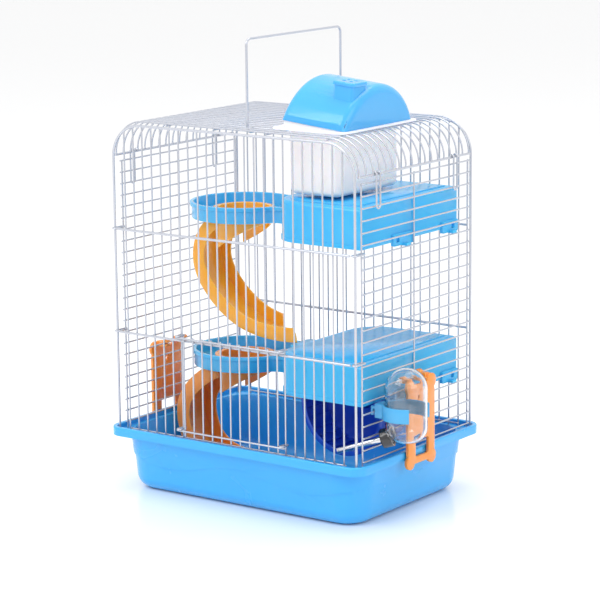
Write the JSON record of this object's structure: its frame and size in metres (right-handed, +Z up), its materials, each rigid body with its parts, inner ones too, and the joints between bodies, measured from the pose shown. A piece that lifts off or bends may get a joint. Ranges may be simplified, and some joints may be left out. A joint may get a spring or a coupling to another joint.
{
  "type": "small animal cage",
  "caption": "Wire hamster cage on a moulded tray, with storeys, chutes, a running wheel, a hanging nest box, a sliding door, a carry handle and a drinking bottle",
  "frame": {"origin": "centre of the tray's flat underside, on the floor", "axes": "X along the wide front with the bottle on +X, Y from front to back (front faces -Y), Z up"},
  "size_m": [0.3045, 0.191, 0.3977],
  "materials": {
    "tray_blue": "satin",
    "white_wire": "gloss",
    "azure_plastic": "gloss",
    "cyan_plastic": "gloss",
    "amber_plastic": "gloss",
    "orange_plastic": "gloss",
    "royal_plastic": "gloss",
    "steel": "satin",
    "frosted_plastic": "frosted",
    "clear_plastic": "clear",
    "cap_black": "gloss",
    "clip_blue": "gloss"
  },
  "bodies": {
    "cage": {"back_frame": "white_wire", "back_panel": "white_wire", "base_tray": "tray_blue", "bottle": "clear_plastic", "bottle_clip": "clip_blue", "corner_loops": "white_wire", "front_frame": "white_wire", "front_panel": "white_wire", "left_panel": "white_wire", "lower_box_platform": "azure_plastic", "lower_dish_platform": "cyan_plastic", "lower_slide": "orange_plastic", "right_panel": "white_wire", "roof_bends_left": "white_wire", "roof_bends_right": "white_wire", "roof_grille": "white_wire", "upper_box_platform": "azure_plastic", "upper_dish_platform": "cyan_plastic", "upper_slide": "amber_plastic", "wheel_axle": "steel", "wheel_bracket": "royal_plastic", "wheel_hub_cap": "royal_plastic"},
    "door": {"front_door": "white_wire"},
    "handle": {"carry_handle": "white_wire"},
    "clip_front_left": {"roof_clip_front_left": "white_wire"},
    "clip_front_right": {"roof_clip_front_right": "white_wire"},
    "clip_back_left": {"roof_clip_back_left": "white_wire"},
    "clip_back_right": {"roof_clip_back_right": "white_wire"},
    "latch_left": {"left_latch": "orange_plastic"},
    "latch_right": {"right_latch": "orange_plastic"},
    "wheel": {"wheel_drum": "royal_plastic"},
    "nest": {"nest_box": "frosted_plastic"},
    "nest_lid": {"nest_roof": "tray_blue", "vent_cap": "tray_blue"},
    "spout": {"bottle_cap": "cap_black", "spout_tube": "steel"},
    "ball": {"spout_ball": "steel"}
  },
  "joints": [
    {"name": "door_lift", "type": "slide", "parent": "cage", "child": "door", "axis": [0, 0, 1], "range_m": [0, 0.072]},
    {"name": "handle_fold", "type": "hinge", "parent": "cage", "child": "handle", "pos_m": [0.004, 0, 0.3193], "axis": [0, 1, 0], "range_deg": [-78, 12]},
    {"name": "clip_front_left_swing", "type": "hinge", "parent": "cage", "child": "clip_front_left", "pos_m": [-0.126, -0.05788, 0.29288], "axis": [0, 1, 0], "range_deg": [0, 100]},
    {"name": "clip_front_right_swing", "type": "hinge", "parent": "cage", "child": "clip_front_right", "pos_m": [0.126, -0.05788, 0.29288], "axis": [0, -1, 0], "range_deg": [0, 100]},
    {"name": "clip_back_left_swing", "type": "hinge", "parent": "cage", "child": "clip_back_left", "pos_m": [-0.126, 0.05788, 0.29288], "axis": [0, 1, 0], "range_deg": [0, 100]},
    {"name": "clip_back_right_swing", "type": "hinge", "parent": "cage", "child": "clip_back_right", "pos_m": [0.126, 0.05788, 0.29288], "axis": [0, -1, 0], "range_deg": [0, 100]},
    {"name": "latch_left_swing", "type": "hinge", "parent": "cage", "child": "latch_left", "pos_m": [-0.12577, -0.008, 0.117], "axis": [0, 1, 0], "range_deg": [0, 70]},
    {"name": "latch_right_swing", "type": "hinge", "parent": "cage", "child": "latch_right", "pos_m": [0.12577, -0.008, 0.117], "axis": [0, -1, 0], "range_deg": [0, 70]},
    {"name": "wheel_spin", "type": "hinge", "parent": "cage", "child": "wheel", "pos_m": [0.0745, 0, 0.0885], "axis": [0, 1, 0], "continuous": true},
    {"name": "nest_lift", "type": "slide", "parent": "cage", "child": "nest", "axis": [0, 0, 1], "range_m": [0, 0.06]},
    {"name": "nest_lid_lift", "type": "slide", "parent": "nest", "child": "nest_lid", "axis": [0, 0, 1], "range_m": [0, 0.045]},
    {"name": "cap_twist", "type": "hinge", "parent": "cage", "child": "spout", "pos_m": [0.12577, -0.06079, 0.072], "axis": [-0.8818, -0.3563, -0.309], "range_deg": [0, 270]},
    {"name": "ball_push", "type": "slide", "parent": "spout", "child": "ball", "axis": [0.8818, 0.3563, 0.309], "range_m": [0, 0.0015]}
  ]
}
